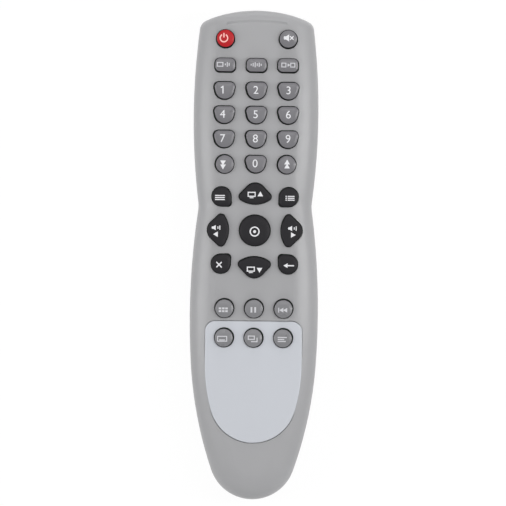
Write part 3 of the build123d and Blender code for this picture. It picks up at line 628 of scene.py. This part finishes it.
sign = start_sign()
for y in (-0.75, 0, 0.75):
    print_disc(-1.6, y, 0.27)
    print_bar(0.35, y, 2.7, 0.4)
finish_sign(sign, "key_info", (0.5, -0.4), ink_white)

sign = start_sign()
print_cross(0, 0, 3.0, 0.48)
finish_sign(sign, "key_exit", (-0.7, -0.3), ink_white)

sign = start_sign()
print_disc(-1.1, 0, 1.1, sides=3, turn=90)
print_bar(0.75, 0, 2.6, 0.5)
finish_sign(sign, "key_back", (0.3, -0.4), ink_white)

# Domes: a screen with a triangle up or down, and a loudspeaker over a triangle to its side
for node, turn, shift in (("key_channel_up", 0, -0.25), ("key_channel_down", 60, -0.7)):
    sign = start_sign()
    print_frame(-1.45, 0, 3.2, 2.0, 0.42)
    print_bar(-1.45, -1.35, 1.6, 0.35)
    print_disc(2.0, -0.1, 1.3, sides=3, turn=turn)
    finish_sign(sign, node, (0, shift), ink_white)

for node, turn, shift in (("key_volume_down", 90, -0.7), ("key_volume_up", -90, 0.35)):
    sign = start_sign()
    print_speaker(-0.8, 1.0, 1.2)
    for step, height in enumerate((1.0, 1.7)):
        print_bar(0.65 + 0.75 * step, 1.0, 0.38, height)
    print_disc(0, -1.6, 1.25, sides=3, turn=turn)
    finish_sign(sign, node, (shift, 0), ink_white)

# Middle of the pad: a ring with a dot
sign = start_sign()
print_ring(0, 0, 1.75, 0.5)
print_disc(0, 0, 0.6)
finish_sign(sign, "key_ok", (-0.1, -0.4), ink_white)

# Lower keys: blocks of a grid, two bars, and a bar with two triangles
sign = start_sign()
for x in (-1.3, 0, 1.3):
    for y in (-0.55, 0.55):
        print_bar(x, y, 1.0, 0.75)
finish_sign(sign, "key_guide", (-0.4, -0.5), ink_pale)

sign = start_sign()
for x in (-0.75, 0.75):
    print_bar(x, 0, 0.7, 2.2)
finish_sign(sign, "key_pause", (-0.2, -0.4), ink_pale)

sign = start_sign()
print_bar(-1.85, 0, 0.4, 1.9)
for x, lift in ((-0.55, 0), (1.0, large_lift)):
    print_disc(x, 0, 1.1, sides=3, turn=90, lift=lift)
finish_sign(sign, "key_last", (0, -0.4), ink_pale)

# Keys on the plate: a framed line, two overlapping frames, and lines of text
sign = start_sign()
print_frame(0, 0, 4.0, 2.3, thin_line)
print_bar(0, -0.45, 2.4, thin_line)
finish_sign(sign, "key_subtitle", (-0.6, -0.4), ink_pale)

sign = start_sign()
print_frame(-0.55, 0.55, 2.8, 1.7, thin_line)
print_bar(0.65, -1.0, 2.6, 0.4)
print_bar(1.75, -0.1, 0.4, 1.4)
finish_sign(sign, "key_tv_system", (-0.2, -0.4), ink_pale)

sign = start_sign()
for y, width in ((0.8, 3.6), (0, 2.6), (-0.8, 3.2)):
    print_bar((width - 3.6) / 2, y, width, 0.42)
finish_sign(sign, "key_teletext", (-0.2, -0.4), ink_pale)

# Works inside the case: the rubber sheet under the keys, the board with its parts, and the
# screws that hold it. None of it shows until the case is opened.
for node, name, color, roughness in (
    ("keypad_mat", "sheet_rubber", linear(48, 48, 50), 0.6),
    ("circuit_board", "solder_mask", linear(34, 92, 48), 0.3),
    ("controller_chip", "chip_epoxy", linear(32, 32, 34), 0.5),
    ("resonator", "resonator_resin", linear(40, 74, 150), 0.3),
    ("reservoir_capacitor", "capacitor_sleeve", linear(38, 44, 70), 0.3),
    ("led_driver_transistor", "transistor_epoxy", linear(30, 30, 31), 0.5),
    ("resistors", "resistor_glaze", linear(26, 28, 34), 0.25),
):
    finish, _ = moulded_material(name, color, roughness)
    nodes[node].material_slots[0].material = finish
screw_zinc, shader = moulded_material("screw_zinc", linear(186, 188, 192), 0.3)
shader.inputs["Metallic"].default_value = 1
nodes["board_screws"].material_slots[0].material = screw_zinc

# Cells and contacts: two cells in printed steel jackets, and three contacts stamped from
# nickel-plated strip. They show once the battery cover is off.
contact_nickel, shader = moulded_material(
    "contact_nickel", linear(205, 200, 188), 0.28, mottle=0.08, mottle_scale=400
)
shader.inputs["Metallic"].default_value = 1
for node in ("positive_contact", "negative_contact", "bridge_contact"):
    nodes[node].material_slots[0].material = contact_nickel

# A cell's jacket is dark blue with a copper end at its positive pole, a white stripe between, and
# bare steel at both ends. Places and reaches are shares of its length, from its middle.
copper_place = 0.33
copper_reach = 0.14
stripe_place = 0.18
stripe_reach = 0.006
steel_reach = 0.03
for node in ("battery_left", "battery_right"):
    low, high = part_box(node)
    middle = (low.y + high.y) / 2
    length = high.y - low.y
    positive = 1 if node == "battery_left" else -1
    jacket, shader = moulded_material(f"jacket_{node}", linear(44, 62, 110), 0.26, mottle=0.03)
    shader.inputs["Coat Weight"].default_value = 0.6
    tree = jacket.node_tree
    copper = middle + positive * copper_place * length
    stripe = middle + positive * stripe_place * length
    paint_band(jacket, add_band(tree, "Y", copper, copper_reach * length), linear(176, 120, 62))
    paint_band(jacket, add_band(tree, "Y", stripe, stripe_reach * length), linear(225, 225, 225))
    for end in (low.y, high.y):
        paint_band(jacket, add_band(tree, "Y", end, steel_reach * length), linear(190, 190, 188))
    nodes[node].material_slots[0].material = jacket

# Floor and backdrop: white to the camera and in reflections, with the handset's soft shadow left
# faintly on it. The world is the same white, and lights the handset at a lower level.
shadow_share = 0.12
world_light = 0.28
floor_size = 6
floor_drop = 0.0002
paper_share = 0.5
glow_strength = 1.08


def add_seen(tree):
    """Return 1 for a ray that shows the backdrop, and 0 for one that only lights the handset."""
    rays = tree.nodes.new("ShaderNodeLightPath")
    seen = add_math(tree, "MAXIMUM", rays.outputs["Is Camera Ray"], rays.outputs["Is Glossy Ray"])
    return add_math(tree, "MAXIMUM", seen, rays.outputs["Is Transmission Ray"])


bpy.ops.mesh.primitive_plane_add(size=floor_size, location=(0, 0, -floor_drop))
floor = bpy.context.object
floor.name = "floor"
floor_white = bpy.data.materials.new("floor_white")
floor_white.use_nodes = True
tree = floor_white.node_tree
paper = tree.nodes["Principled BSDF"]
paper.inputs["Base Color"].default_value = (paper_share, paper_share, paper_share, 1)
paper.inputs["Roughness"].default_value = 0.9
glow = tree.nodes.new("ShaderNodeEmission")
glow.inputs["Strength"].default_value = glow_strength
mix = tree.nodes.new("ShaderNodeMixShader")
glow_share = add_math(tree, "MULTIPLY", add_seen(tree), 1 - shadow_share)
tree.links.new(glow_share, mix.inputs["Fac"])
tree.links.new(paper.outputs["BSDF"], mix.inputs[1])
tree.links.new(glow.outputs["Emission"], mix.inputs[2])
tree.links.new(mix.outputs["Shader"], tree.nodes["Material Output"].inputs["Surface"])
floor.data.materials.append(floor_white)

world = bpy.data.worlds.new("studio")
world.use_nodes = True
bpy.context.scene.world = world
tree = world.node_tree
strength = add_math(tree, "MULTIPLY", add_seen(tree), 1 - world_light)
strength = add_math(tree, "ADD", strength, world_light)
background = tree.nodes["Background"]
tree.links.new(strength, background.inputs["Strength"])
background.inputs["Color"].default_value = (1, 1, 1, 1)

# Lamps: a large soft box high above the keys, a strip on each side, the right one brighter, and
# a low one beyond each end. The low ones light the steep ends and give no gloss, because seen
# from the far end they would flare over the whole face.
low_lamps = ("lamp_nose", "lamp_tail")
for name, place, size, power in (
    ("lamp_top", (0.0, 0.55, 1.6), (1.0, 0.6), 4.0),
    ("lamp_right", (0.75, 0.05, 0.6), (0.15, 0.9), 4.6),
    ("lamp_left", (-0.85, 0.0, 0.45), (0.3, 0.9), 4.0),
    ("lamp_nose", (0.0, 0.98, 0.14), (0.7, 0.15), 4.0),
    ("lamp_tail", (0.0, -0.95, 0.35), (0.6, 0.2), 2.2),
):
    aim = (Vector((0, 0, face_z)) - Vector(place)).to_track_quat("-Z", "Y")
    bpy.ops.object.light_add(type="AREA", location=place, rotation=aim.to_euler())
    lamp = bpy.context.object
    lamp.name = name
    lamp.data.shape = "RECTANGLE"
    lamp.data.size, lamp.data.size_y = size
    lamp.data.energy = power
    lamp.visible_glossy = name not in low_lamps

bpy.context.scene.view_settings.view_transform = "Standard"
